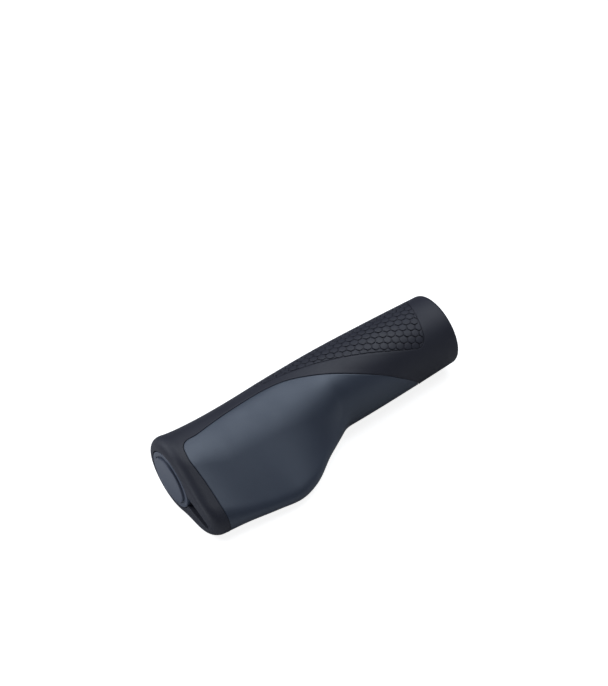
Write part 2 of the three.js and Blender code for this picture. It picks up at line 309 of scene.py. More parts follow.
def wing_ellipse(at, half_thickness):
    """Half length, centre and half thickness of the wing's ellipse, which is thicker at the rim."""
    reach = wing_reach(at)
    thickening = np.clip(1 - at / WING_THICK_END, 0, 1) ** 2
    thick = half_thickness + (WING_HALF_AT_RIM - half_thickness) * thickening
    thick = np.minimum(thick, WING_SLIMNESS * reach)
    return (reach + WING_ROOT) / 2, (reach - WING_ROOT) / 2, thick


def crest_radius(at):
    """Radius of the flatter arc that leads from the barrel's top towards the wing. It is the
    barrel's own radius where there is no wing, and nearer to it at the rim."""
    barrel = barrel_radius(at)
    width = np.clip((wing_reach(at) - barrel) / CREST_RUN, 0, 1)
    share = CREST_AT_RIM + (1 - CREST_AT_RIM) * ramp(at, 0, CREST_RUN)
    return barrel + (CREST_RADIUS - barrel) * width * share


def shoulder_slopes():
    """Slope of the straight line that touches the crest's arc and the wing's ellipse from above,
    along the grip, found by halving. The line's height over the axis is drop + radius * sqrt(1 +
    slope ** 2) for an arc whose middle is that drop over the axis, and slope * centre + sqrt((slope
    * half length) ** 2 + half thickness ** 2) for the ellipse."""
    at = np.linspace(0, GRIP_LENGTH, 1301)
    half_length, centre, half_thickness = wing_ellipse(at, WING_HALF_TOP)
    arc = crest_radius(at)
    low = np.zeros_like(at)
    high = np.full_like(at, 20.0)
    for _ in range(40):
        slope = (low + high) / 2
        over_wing = slope * centre + np.hypot(slope * half_length, half_thickness)
        short = over_wing < barrel_radius(at) - arc + arc * np.hypot(1, slope)
        low = np.where(short, slope, low)
        high = np.where(short, high, slope)
    return at, (low + high) / 2


SHOULDER = shoulder_slopes()


def shoulder_radius(at, turn, barrel):
    """Distance from the axis to the crest's arc and to the straight shoulder between it and the
    wing, and zero elsewhere."""
    half_length, centre, half_thickness = wing_ellipse(at, WING_HALF_TOP)
    slope = np.interp(at, *SHOULDER)
    arc = crest_radius(at)
    drop = barrel - arc
    lean = np.hypot(1, slope)
    wide = np.hypot(slope * half_length, half_thickness)
    touch_wing = np.arctan2(half_thickness**2 / wide, centre + slope * half_length**2 / wide)
    touch_crest = np.arctan2(drop + arc / lean, arc * slope / lean)
    angle = np.radians((turn + 180) % 360 - 180)
    winged = half_length + centre > barrel
    bridges = winged & (angle > touch_wing) & (angle < touch_crest)
    crests = winged & (angle >= touch_crest) & (angle < np.pi / 2)
    divisor = np.where(bridges, np.sin(angle) + slope * np.cos(angle), 1.0)
    line = (drop + arc * lean) / divisor
    round_top = drop * np.sin(angle) + np.sqrt(arc**2 - (drop * np.cos(angle)) ** 2)
    return np.where(bridges, line, np.where(crests, round_top, 0.0))


def skin_radius(at, turn):
    """The largest of the barrel's circle, the wing's ellipse, which reaches from inside the barrel
    to the wing's edge and is thinner above than below, and the crest and shoulder over both. Where
    circle and ellipse come close, the square of their nearness rounds the corner between them."""
    barrel = barrel_radius(at)
    half_length, centre, above = wing_ellipse(at, WING_HALF_TOP)
    below = wing_ellipse(at, WING_HALF_THICKNESS)[2]
    half_thickness = np.where(np.sin(np.radians(turn)) > 0, above, below)
    along = np.cos(np.radians(turn)) / half_length
    across = np.sin(np.radians(turn)) / half_thickness
    square = along**2 + across**2
    half = along * centre / half_length
    rest = (centre / half_length) ** 2 - 1
    wing = (half + np.sqrt(half**2 - square * rest)) / square
    nearness = np.clip(WING_BLEND - np.abs(barrel - wing), 0, WING_BLEND) / WING_BLEND
    form = np.maximum(barrel, wing) + nearness**2 * WING_BLEND / 4
    form = np.maximum(form, shoulder_radius(at, turn, barrel))
    return form - end_inset(at)


def place(at, turn, radius):
    """Points at a distance from the bar's axis, in the direction of a turn."""
    at, turn, radius = np.broadcast_arrays(
        np.asarray(at, float), np.asarray(turn, float), np.asarray(radius, float)
    )
    angle = np.radians(turn - REST_DROOP)
    return np.stack((at - STOP_AT, -radius * np.cos(angle), radius * np.sin(angle)), axis=-1)


def unit(vectors):
    """Vectors divided by their own lengths."""
    return vectors / np.linalg.norm(vectors, axis=-1, keepdims=True)


def bare_skin(at, turn):
    """Points of the skin itself."""
    return place(at, turn, skin_radius(at, turn))


def skin_steps(at, turn):
    """Change of the skin's point for one millimetre along the bar and for one degree round it."""
    step = 0.02
    along = bare_skin(at + step, turn) - bare_skin(at - step, turn)
    around = bare_skin(at, turn + step) - bare_skin(at, turn - step)
    return along / (2 * step), around / (2 * step)


def skin(at, turn, lift=0.0):
    """Points of the skin, raised along its outward normal by a lift."""
    at, turn, lift = np.broadcast_arrays(
        np.asarray(at, float), np.asarray(turn, float), np.asarray(lift, float)
    )
    along, around = skin_steps(at, turn)
    return bare_skin(at, turn) + unit(np.cross(along, around)) * lift[..., None]


def rounded_outline(at, turn, rounding, count=720):
    """Even steps along a closed outline on the skin, averaged by a bell curve of the rounding's
    width."""
    closed_at = np.append(at, at[0])
    closed_turn = np.append(turn, turn[0])
    points = skin(closed_at, closed_turn)
    lengths = np.linalg.norm(np.diff(points, axis=0), axis=1)
    travelled = np.concatenate(([0], np.cumsum(lengths)))
    steps = np.linspace(0, travelled[-1], count, endpoint=False)
    spacing = travelled[-1] / count
    away = np.minimum(np.arange(count), count - np.arange(count)) * spacing
    bell = np.exp(-0.5 * (away / rounding) ** 2)
    bell = np.fft.rfft(bell / bell.sum())
    even_at = np.interp(steps, travelled, closed_at)
    even_turn = np.interp(steps, travelled, closed_turn)
    soft_at = np.fft.irfft(np.fft.rfft(even_at) * bell, count)
    soft_turn = np.fft.irfft(np.fft.rfft(even_turn) * bell, count)
    return soft_at, soft_turn


def outward_steps(at, turn):
    """Change of at and of turn for one millimetre outwards across a closed outline, along the
    skin."""
    points = skin(at, turn)
    tangent = unit(np.roll(points, -1, axis=0) - np.roll(points, 1, axis=0))
    along, around = skin_steps(at, turn)
    outward = unit(np.cross(tangent, unit(np.cross(along, around))))
    area = np.sum(at * np.roll(turn, -1) - np.roll(at, -1) * turn)
    outward = outward * np.sign(area)
    first = np.sum(along * along, axis=1)
    mixed = np.sum(along * around, axis=1)
    second = np.sum(around * around, axis=1)
    goal_along = np.sum(outward * along, axis=1)
    goal_around = np.sum(outward * around, axis=1)
    scale = first * second - mixed**2
    step_at = (goal_along * second - goal_around * mixed) / scale
    step_turn = (goal_around * first - goal_along * mixed) / scale
    return step_at, step_turn


def inside_outline(along, around, outline):
    """Whether points lie inside a closed outline: a line from each crosses it an odd number of
    times."""
    edge_along, edge_around = outline
    next_along = np.roll(edge_along, -1)
    next_around = np.roll(edge_around, -1)
    along = along[..., None]
    around = around[..., None]
    spans = (edge_around > around) != (next_around > around)
    rise = np.where(next_around == edge_around, 1.0, next_around - edge_around)
    crossing = edge_along + (around - edge_around) * (next_along - edge_along) / rise
    return np.sum(spans & (along < crossing), axis=-1) % 2 == 1


def signed_distance(at, turn, outline):
    """Distance over the skin to the nearest piece of an outline, negative inside it."""
    shape = np.shape(at)
    at = np.ravel(at)
    turn = np.ravel(turn)
    start = skin(*outline)
    edge = np.roll(start, -1, axis=0) - start
    length = np.sum(edge * edge, axis=1)
    result = np.empty(at.size)
    for block in np.array_split(np.arange(at.size), max(at.size // 4000, 1)):
        points = skin(at[block], turn[block])
        away = points[:, None, :] - start[None, :, :]
        share = np.clip(np.einsum("pek,ek->pe", away, edge) / length, 0, 1)
        gap = away - share[..., None] * edge[None, :, :]
        distance = np.sqrt(np.min(np.einsum("pek,pek->pe", gap, gap), axis=1))
        inside = inside_outline(at[block], turn[block], outline)
        result[block] = np.where(inside, -distance, distance)
    return result.reshape(shape)


def pad_edges():
    """The four edges of the palm pad as (at, turn) arrays: lower, far, upper and near. The steps
    are shorter near its start, where a slant draws its lower part away from the rim."""
    upper = smooth_curve(PAD_UPPER)
    lower = smooth_curve(PAD_LOWER)
    share = np.linspace(0, 1, 200) ** 1.3
    run = share * (PAD_END - PAD_START)

    def slanted(distance, turn, fade):
        return PAD_START + distance + PAD_SLANT * np.cos(np.radians(turn)) * (1 - fade) ** 6

    low = (slanted(run, lower(run), share), lower(run))
    high = (slanted(run, upper(run), share), upper(run))
    across = np.linspace(0, 1, 60)
    near_turn = lower(0.0) + (upper(0.0) - lower(0.0)) * across
    far_turn = lower(run[-1]) + (upper(run[-1]) - lower(run[-1])) * across
    near = (slanted(0.0, near_turn, 0.0), near_turn)
    far = (slanted(run[-1], far_turn, 1.0), far_turn)
    return low, far, high, near


def pad_outline():
    """Closed outline of the palm pad with rounded corners, from its near lower corner by the far
    end."""
    low, far, high, near = pad_edges()
    at = np.concatenate((low[0][:-1], far[0][:-1], high[0][:0:-1], near[0][:0:-1]))
    turn = np.concatenate((low[1][:-1], far[1][:-1], high[1][:0:-1], near[1][:0:-1]))
    return rounded_outline(at, turn, PAD_CORNER)


def field_outline():
    """Closed outline of the honeycomb field: two sides that spread from its nose, and a bulging
    end."""
    half_span = smooth_curve(FIELD_HALF_SPAN)
    widest = max(span for _, span in FIELD_HALF_SPAN)
    run = np.linspace(0, FIELD_END - FIELD_START, 160)
    spread = half_span(run)
    late = (run / run[-1]) ** 24
    side_at = FIELD_START + run + FIELD_BULGE * (1 - spread / widest) * late
    across = np.linspace(-1, 1, 41) * spread[-1]
    end_at = FIELD_END + FIELD_BULGE * (1 - np.abs(across) / widest)
    nose = np.linspace(1, -1, 11) * spread[0]
    at = np.concatenate((side_at[:-1], end_at[:-1], side_at[:0:-1], np.full(10, FIELD_START)))
    turn = np.concatenate((-spread[:-1], across[:-1], spread[:0:-1], nose[:-1]))
    return rounded_outline(at, FIELD_MIDDLE + turn, FIELD_CORNER)


def moved_outline(outline, distance):
    """An outline moved outwards over the skin by a distance."""
    at, turn = outline
    step_at, step_turn = outward_steps(at, turn)
    return at + distance * step_at, turn + distance * step_turn


def ring_faces(rows, columns):
    """Four-sided faces of a grid that closes on itself in both directions."""
    row, column = np.meshgrid(np.arange(rows), np.arange(columns), indexing="ij")
    next_row = (row + 1) % rows
    next_column = (column + 1) % columns
    corners = (
        row * columns + column,
        row * columns + next_column,
        next_row * columns + next_column,
        next_row * columns + column,
    )
    return np.stack(corners, axis=-1).reshape(-1, 4)


def signed_volume(points, faces):
    """Six times the volume inside closed faces, positive when they point outwards."""
    first = points[faces[:, 0]]
    total = 0.0
    for corner in range(1, faces.shape[1] - 1):
        wedge = np.cross(points[faces[:, corner]], points[faces[:, corner + 1]])
        total += np.sum(first * wedge)
    return total


def outward_faces(points, face_sets):
    """Face arrays of one closed form, all turned over together if they point inwards."""
    total = sum(signed_volume(points, faces) for faces in face_sets)
    return [faces if total > 0 else faces[:, ::-1] for faces in face_sets]


def new_piece(name, points, face_sets, material, replaces=None, sharp_angle=35.0):
    """Makes a smooth mesh object at the origin from points in millimetres, and rides it on the
    grip."""
    points = points.reshape(-1, 3)
    faces = [face for faces in outward_faces(points, face_sets) for face in faces.tolist()]
    mesh = bpy.data.meshes.new(name)
    mesh.from_pydata((points * MM).tolist(), [], faces)
    if mesh.validate():
        raise RuntimeError(f"{name} has faces that Blender can't keep")
    mesh.shade_smooth()
    mesh.set_sharp_from_angle(angle=math.radians(sharp_angle))
    mesh.materials.append(material)
    piece = bpy.data.objects.new(name, mesh)
    bpy.context.scene.collection.objects.link(piece)
    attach(piece, "root")
    if replaces:
        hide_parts(replaces)
    return piece


def recess(at, turn):
    """How far the body's skin lies below the form, to make room for the palm pad and the honeycomb.
    It falls along a smooth ramp beside each outline, which the strips on the outlines hide."""
    sizes = bpy.context.scene.grip_sizes
    pad_depth = sizes.pad_thickness / MM + PAD_ROOM
    field_depth = sizes.cell_depth / MM
    pad = signed_distance(at, turn, tuple(line[::3] for line in pad_outline()))
    field = signed_distance(at, turn % 360, tuple(line[::3] for line in field_outline()))
    return -pad_depth * ramp(-pad, -1.5, 0.4) - field_depth * ramp(-field, -1.2, 0.3)


def pocket_edge(turn):
    """Distance from the bar's axis to the pocket's edge along each turn: its straight tapering
    side, or the half circle at its tip. Where the pocket doesn't reach, it is less than the seat's
    radius."""
    angle = np.radians(np.abs(turn))
    tip = POCKET_REACH - POCKET_TIP_HALF
    taper = (POCKET_ROOT_HALF - POCKET_TIP_HALF) / (tip - POCKET_ROOT)
    side = (POCKET_ROOT_HALF + taper * POCKET_ROOT) / (np.tan(angle) + taper)
    under = np.clip(POCKET_TIP_HALF**2 - (tip * np.sin(angle)) ** 2, 0, None)
    round_tip = tip * np.cos(angle) + np.sqrt(under)
    return np.where(side > tip, round_tip, side / np.cos(angle))


def body_columns():
    """Turns of the body's grid: closer together at the wing's edge, and closest at the pocket,
    whose two sides get a column on each side of their edge."""
    even = np.linspace(-180, 180, 300, endpoint=False)
    crowded = even - np.degrees(0.5 * np.sin(np.radians(even)))
    turn = np.linspace(5, 25, 20001)
    last = turn[pocket_edge(turn) > SEAT_RADIUS][-1]
    fine = np.linspace(-last, last, 81)
    step = np.array([last + 0.02])
    return np.sort(np.concatenate((crowded[np.abs(crowded) > last + 0.2], fine, step, -step)))


def body_surface():
    """Points of the body as one grid, a closed profile carried round the bar: over the end face and
    its rounded rim, along the skin, round the inner end, back through the bore, and out by the
    plug's seat and the pocket. The rows are steps of the profile and the columns are turns."""
    turn = body_columns()
    reach = pocket_edge(turn)
    in_pocket = (reach > SEAT_RADIUS) & (np.abs(turn) < 90)
    mouth = np.where(in_pocket, reach, SEAT_RADIUS)
    depth = np.where(in_pocket, POCKET_DEPTH, SEAT_DEPTH)
    flat = np.maximum(skin_radius(0.0, turn), mouth + MOUTH_WALL)

    rows = []

    def add(at, radius):
        rows.append(place(at, turn, np.broadcast_to(radius, turn.shape)))

    for angle in np.radians((0, 30, 60, 90)):
        add(MOUTH_EDGE * (1 - math.sin(angle)), mouth + MOUTH_EDGE * (1 - math.cos(angle)))
    rounded = mouth + MOUTH_EDGE
    for share in (0.3, 0.6, 1.0):
        add(0.0, rounded + (flat - rounded) * share)
    for angle in np.radians(np.arange(9, 90, 9)):
        at = RIM_FILLET * (1 - math.cos(angle))
        add(at, np.maximum(skin_radius(at, turn), mouth + MOUTH_WALL))

    along = np.linspace(RIM_FILLET, GRIP_LENGTH - INNER_FILLET, 156)
    sinking = recess(*np.meshgrid(along, turn, indexing="ij"))
    rows.extend(skin(at, turn, lift) for at, lift in zip(along, sinking))

    for angle in np.radians((18, 36, 54, 72, 90)):
        at = GRIP_LENGTH - INNER_FILLET * (1 - math.sin(angle))
        add(at, skin_radius(at, turn))
    lead = BORE_RADIUS + BORE_LEAD_IN
    for share in (0.5, 1.0):
        add(GRIP_LENGTH, skin_radius(GRIP_LENGTH, turn) * (1 - share) + lead * share)
    for at in np.linspace(GRIP_LENGTH - BORE_LEAD_IN, SEAT_DEPTH, 12):
        add(at, BORE_RADIUS)
    add(SEAT_DEPTH, POCKET_ROOT)
    add(depth, POCKET_ROOT + 0.05)
    add(depth, mouth)
    add((depth + MOUTH_EDGE) / 2, mouth)
    return np.stack(rows)


def edge_strip(outline, profile):
    """Points of a closed profile of (outward distance, height over the skin) along an outline."""
    at, turn = outline
    step_at, step_turn = outward_steps(at, turn)
    away, height = np.array(profile, float).T
    place_at = at[None, :] + away[:, None] * step_at[None, :]
    place_turn = turn[None, :] + away[:, None] * step_turn[None, :]
    return skin(place_at, place_turn, height[:, None])


def pad_rim_profile(lip):
    """Lip of black rubber round the palm pad, and the wall of the groove inside it."""
    return (
        (2.3, -0.05), (1.9, 0.01), (1.4, 0.012), (0.9, 0.02 + 0.2 * lip),
        (0.55, 0.02 + 0.7 * lip), (0.3, lip), (0.14, 0.85 * lip), (0.04, 0.3 * lip),
        (0.0, -0.1), (0.0, -1.2), (0.3, -1.8), (1.6, -0.6),
    )


def field_rim_profile(depth):
    """Edge of the smooth rubber round the honeycomb, and the outer wall of its groove."""
    return (
        (1.9, -0.04), (1.5, 0.01), (1.0, 0.012), (0.35, 0.012),
        (0.15, -0.01), (0.04, -0.06), (0.0, -0.14), (0.0, -depth - 0.2),
        (0.6, -depth - 0.4), (1.5, -0.4),
    )


def clustered(count, near, length):
    """Shares from 0 to 1 with short first and last steps, for a rounded edge of the given
    length."""
    edge = near / length
    ends = np.array([0, 0.1, 0.22, 0.38, 0.6, 1.0]) * edge
    middle = np.linspace(edge, 1 - edge, count)
    return np.concatenate((ends[:-1], middle, 1 - ends[-2::-1]))


def outline_stretch(outline, first, last, shares):
    """Points of a closed outline at shares of the way from one of its points to a later one."""
    at, turn = outline
    span = (last - first) % len(at)
    steps = np.arange(span + 1)
    index = (first + steps) % len(at)
    way = shares * span
    return np.stack((np.interp(way, steps, at[index]), np.interp(way, steps, turn[index])))


def pad_grid(outline):
    """Grid of (at, turn) over the palm pad: its four edges, joined by straight blends. Its corners
    are the outline's points nearest to the pad's unrounded corners, at about 0.3 mm to the
    degree."""
    at, turn = outline
    low, far, high, near = pad_edges()
    corners = (
        (low[0][0], low[1][0]),
        (far[0][0], far[1][0]),
        (high[0][-1], high[1][-1]),
        (near[0][-1], near[1][-1]),
    )
    found = [np.argmin((at - a) ** 2 + (0.3 * (turn - t)) ** 2) for a, t in corners]
    along = clustered(150, 2.0, 108.0)
    across = clustered(96, 2.0, 55.0)
    lower = outline_stretch(outline, found[0], found[1], along)[:, :, None]
    upper = outline_stretch(outline, found[2], found[3], 1 - along)[:, :, None]
    outer = outline_stretch(outline, found[3], found[0], 1 - across)[:, None, :]
    inner = outline_stretch(outline, found[1], found[2], across)[:, None, :]
    along = along[None, :, None]
    across = across[None, None, :]
    sides = (1 - across) * lower + across * upper
    ends = (1 - along) * outer + along * inner
    twice = (1 - across) * ((1 - along) * lower[:, :1] + along * lower[:, -1:])
    twice = twice + across * ((1 - along) * upper[:, :1] + along * upper[:, -1:])
    return sides + ends - twice


def pad_surface(gap, edge, thickness):
    """Points of the palm pad's top and underside as two grids. Near its outline the top falls away
    along a flat quarter ellipse."""
    at, turn = moved_outline(pad_outline(), -gap)
    grid_at, grid_turn = pad_grid((at, turn))
    inside = -signed_distance(grid_at, grid_turn, (at[::2], turn[::2]))
    short = 1 - np.clip(inside / edge, 0, 1)
    fall = 0.4 * edge * (1 - np.sqrt(1 - short**2))
    return np.stack((skin(grid_at, grid_turn, -fall), skin(grid_at, grid_turn, -thickness)))


def slab_faces(rows, columns):
    """Faces of two grids of the same size, one above the other, joined round their edges."""
    row, column = np.meshgrid(np.arange(rows - 1), np.arange(columns - 1), indexing="ij")
    first = (row * columns + column).ravel()
    top = np.stack((first, first + 1, first + columns + 1, first + columns), axis=-1)
    count = rows * columns
    under = (top + count)[:, ::-1]
    border = np.concatenate(
        (
            np.arange(columns - 1),
            np.arange(rows - 1) * columns + columns - 1,
            (rows - 1) * columns + np.arange(columns - 1, 0, -1),
            np.arange(rows - 1, 0, -1) * columns,
        )
    )
    following = np.roll(border, -1)
    wall = np.stack((following, border, border + count, following + count), axis=-1)
    return np.concatenate((top, under, wall))


def hexagon_room(directions, width):
    """Distance from the middle of a hexagon to its sides in each direction. The width is the
    distance between two opposite sides, and two corners point along the bar."""
    sides = np.radians(np.arange(30, 390, 60))
    facing = np.cos(directions[:, None] - sides)
    return np.min(width / 2 / np.maximum(facing, 1e-6), axis=1)


def cell_pieces(pitch, groove, outline):
    """Hexagons of the flattened field, and the part of each that lies inside the outline. The field
    is shrunk along the bar until its cells are regular. Gives each part's middle, its hexagon's
    middle and the share of the hexagon that it is."""
    row_step = pitch * math.sqrt(3) / 2
    first_along = FIRST_CELL_AT / CELL_STRETCH
    first_around = math.radians(FIRST_CELL_TURN) * NECK_RADIUS
    edge_along, edge_around = outline
    rows = (edge_along.min() - first_along) / row_step, (edge_along.max() - first_along) / row_step
    cells = (edge_around.min() - first_around) / pitch, (edge_around.max() - first_around) / pitch
    row = np.arange(math.floor(rows[0]) - 1, math.ceil(rows[1]) + 2)
    cell = np.arange(math.floor(cells[0]) - 1, math.ceil(cells[1]) + 2)
    row, cell = (grid.ravel() for grid in np.meshgrid(row, cell, indexing="ij"))
    along = first_along + row * row_step
    around = first_around + (cell + (np.abs(row) % 2) / 2) * pitch

    turns = np.linspace(0, 2 * math.pi, 36, endpoint=False)
    rings = np.sqrt((np.arange(10) + 0.5) / 10)
    reach = rings[:, None] * hexagon_room(turns, pitch - groove)
    weight = np.broadcast_to(hexagon_room(turns, 1.0) ** 2, reach.shape).ravel()
    spot_along = along[:, None] + (reach * np.cos(turns)).ravel()
    spot_around = around[:, None] + (reach * np.sin(turns)).ravel()
    kept = inside_outline(spot_along, spot_around, outline) * weight
    share = kept.sum(axis=1) / weight.sum()
    good = share > SMALLEST_CELL_SHARE
    kept = kept[good]
    total = kept.sum(axis=1)
    mid_along = (kept * spot_along[good]).sum(axis=1) / total
    mid_around = (kept * spot_around[good]).sum(axis=1) / total
    return (mid_along, mid_around), (along[good], around[good]), share[good]


def ray_limits(along, around, directions, outline):
    """Distance from each point, in each direction, to the first of the outline's edges that it
    meets."""
    start_along, start_around = outline
    edge_along = np.roll(start_along, -1) - start_along
    edge_around = np.roll(start_around, -1) - start_around
    ray_along = np.cos(directions)[None, :, None]
    ray_around = np.sin(directions)[None, :, None]
    to_along = start_along - along[:, None, None]
    to_around = start_around - around[:, None, None]
    cross = ray_along * edge_around - ray_around * edge_along
    cross = np.where(np.abs(cross) < 1e-9, 1e-9, cross)
    distance = (to_along * edge_around - to_around * edge_along) / cross
    share = (to_along * ray_around - to_around * ray_along) / cross
    hits = (distance > 0) & (share >= -1e-6) & (share <= 1 + 1e-6)
    return np.min(np.where(hits, distance, 1e3), axis=2)


def whole_cell_radius(cells, directions, width):
    """Radius of whole cells in each direction, their corners a little blunted."""
    radius = np.minimum(hexagon_room(directions, width), CELL_CORNER_SHARE * width / math.sqrt(3))
    return np.broadcast_to(radius, (cells, len(directions)))


def cut_cell_radius(middles, hexagons, directions, width, outline):
    """Radius in each direction of cells that the outline cuts, from the middles of their parts to
    the nearest of their hexagons' sides and the outline, with the corners averaged away a
    little."""
    off_along = middles[0] - hexagons[0]
    off_around = middles[1] - hexagons[1]
    radius = ray_limits(*middles, directions, outline)
    for side in np.radians(np.arange(30, 390, 60)):
        facing = np.maximum(np.cos(directions - side), 1e-6)
        room = width / 2 - off_along * math.cos(side) - off_around * math.sin(side)
        radius = np.minimum(radius, room[:, None] / facing)
    return 0.5 * radius + 0.25 * (np.roll(radius, 1, axis=1) + np.roll(radius, -1, axis=1))


def raised_cells(middles, radius, directions, depth):
    """Points of low pillows with the given radii, as an array of cells by points: the middle of the
    top, rings outwards and down the sides, and the middle of the underside. Also gives the count of
    rings."""
    rings = (
        (0.5 * radius, -0.003),
        (np.maximum(radius - 0.2, 0.78 * radius), -0.012),
        (np.maximum(radius - 0.07, 0.92 * radius), -0.035),
        (radius, -0.11),
        (radius + 0.02, -depth - 0.15),
    )
    along, around = (middle[:, None] for middle in middles)

    def raised(size, lift):
        ring_along = along + size * np.cos(directions)
        ring_around = around + size * np.sin(directions)
        return skin(ring_along * CELL_STRETCH, np.degrees(ring_around / NECK_RADIUS), lift)

    layers = [raised(size, lift) for size, lift in rings]
    turn = np.degrees(around / NECK_RADIUS)
    top = skin(along * CELL_STRETCH, turn)
    bottom = skin(along * CELL_STRETCH, turn, -depth - 0.15)
    return np.concatenate((top, *layers, bottom), axis=1), len(rings)


def cell_faces(base, size, count, rings):
    """Faces of cells whose points start at base: a fan on top, the rings between, and a fan
    below."""
    step = np.arange(count)
    first = base[:, None] + 1 + step
    second = base[:, None] + 1 + (step + 1) % count
    last = (rings - 1) * count
    top = np.broadcast_to(base[:, None], first.shape)
    bottom = top + size - 1
    fans = np.concatenate(
        (
            np.stack((top, first, second), axis=-1).reshape(-1, 3),
            np.stack((bottom, second + last, first + last), axis=-1).reshape(-1, 3),
        )
    )
    ring = np.arange(rings - 1)[:, None, None] * count
    near = first + ring
    far = second + ring
    return fans, np.stack((near, near + count, far + count, far), axis=-1).reshape(-1, 4)


def honeycomb_cells(pitch, groove, depth):
    """Points and faces of all cells. Each is a hexagon, cut by the field's outline where it crosses
    it, drawn by its radius in even directions round its middle and raised into a low pillow."""
    width = pitch - groove
    edge_at, edge_turn = moved_outline(field_outline(), -0.75 * groove)
    outline = (edge_at[::2] / CELL_STRETCH, np.radians(edge_turn[::2]) * NECK_RADIUS)
    middles, hexagons, share = cell_pieces(pitch, groove, outline)
    points = []
    faces = []
    start = 0
    for whole, count in ((True, 12), (False, 48)):
        chosen = (share > WHOLE_CELL_SHARE) == whole
        directions = np.arange(count) * 2 * math.pi / count
        own_middles = [middle[chosen] for middle in middles]
        if whole:
            radius = whole_cell_radius(chosen.sum(), directions, width)
        else:
            own_hexagons = [middle[chosen] for middle in hexagons]
            radius = cut_cell_radius(own_middles, own_hexagons, directions, width, outline)
        cells, rings = raised_cells(own_middles, radius, directions, depth)
        base = start + np.arange(len(cells)) * cells.shape[1]
        faces.append(cell_faces(base, cells.shape[1], count, rings))
        points.append(cells.reshape(-1, 3))
        start += cells.shape[0] * cells.shape[1]
    fans, quads = (np.concatenate(kind) for kind in zip(*faces))
    return np.concatenate(points), fans, quads


def revolved(corners, columns=144):
    """Points and faces of a closed profile of (at, radius) turned round the bar. Its two ends on
    the axis are single points."""
    at, radius = np.array(corners, float).T
    turn = np.arange(columns) * 360 / columns
    rows = place(at[1:-1, None], turn[None, :], radius[1:-1, None])
    points = np.concatenate((rows.reshape(-1, 3), place(at[[0, -1]], 0.0, 0.0)))
    count = len(at) - 2
    column = np.arange(columns)
    after = (column + 1) % columns
    row = np.arange(count - 1)[:, None] * columns
    near = row + column
    far = row + after
    quads = np.stack((near, far, far + columns, near + columns), axis=-1)
    first = np.full(columns, count * columns)
    last = first + 1
    end = (count - 1) * columns
    fans = np.concatenate(
        (
            np.stack((first, after, column), axis=-1),
            np.stack((last, end + column, end + after), axis=-1),
        )
    )
    return points, fans, quads.reshape(-1, 4)


def plug_profile():
    """Profile of the end plug from the middle of its disc, over the disc's edge, the groove and the
    flange, to the middle of its spigot."""
    disc = PLUG_DISC_RADIUS
    rise = -PLUG_DISC_RISE
    return (
        (rise, 0.0), (rise, 3.0), (rise, 6.0), (rise, disc - 1.0), (rise, disc - 0.5),
        (rise + 0.06, disc - 0.22), (rise + 0.18, disc - 0.06), (rise + 0.36, disc),
        (0.35, disc + 0.04), (0.42, disc + 0.2), (0.35, disc + 0.4), (0.08, disc + 0.5),
        (0.0, disc + 0.64), (0.0, PLUG_RADIUS - 0.4), (0.07, PLUG_RADIUS - 0.14),
        (0.3, PLUG_RADIUS), (PLUG_FLANGE, PLUG_RADIUS), (PLUG_FLANGE, PLUG_SPIGOT_RADIUS),
        (STOP_AT - 0.6, PLUG_SPIGOT_RADIUS), (STOP_AT, PLUG_SPIGOT_RADIUS - 0.6), (STOP_AT, 0.0),
    )


def add_socket(group, name, kind, in_out, default=None):
    """Adds a socket to a node group."""
    socket = group.interface.new_socket(name=name, socket_type=kind, in_out=in_out)
    if default is not None:
        socket.default_value = default


def moulded_grain():
    """Node group of a moulded surface: a fine grain and slow flow marks, from Object coordinates in
    metres. It puts out the grain's height and a slow change of shade, both from 0 to 1."""
    name = "moulded_grain"
    if name in bpy.data.node_groups:
        return bpy.data.node_groups[name]
    group = bpy.data.node_groups.new(name, "ShaderNodeTree")
    add_socket(group, "Vector", "NodeSocketVector", "INPUT")
    add_socket(group, "Grains per metre", "NodeSocketFloat", "INPUT", 3000.0)
    add_socket(group, "Marks per metre", "NodeSocketFloat", "INPUT", 60.0)
    add_socket(group, "Height", "NodeSocketFloat", "OUTPUT")
    add_socket(group, "Shade", "NodeSocketFloat", "OUTPUT")
    nodes, links = group.nodes, group.links
    entry = nodes.new("NodeGroupInput")
    leave = nodes.new("NodeGroupOutput")
    fine = nodes.new("ShaderNodeTexNoise")
    fine.inputs["Detail"].default_value = 2.0
    fine.inputs["Roughness"].default_value = 0.6
    slow = nodes.new("ShaderNodeTexNoise")
    slow.inputs["Detail"].default_value = 4.0
    slow.inputs["Roughness"].default_value = 0.55
    links.new(entry.outputs["Vector"], fine.inputs["Vector"])
    links.new(entry.outputs["Vector"], slow.inputs["Vector"])
    links.new(entry.outputs["Grains per metre"], fine.inputs["Scale"])
    links.new(entry.outputs["Marks per metre"], slow.inputs["Scale"])
    links.new(fine.outputs["Fac"], leave.inputs["Height"])
    links.new(slow.outputs["Fac"], leave.inputs["Shade"])
    return group


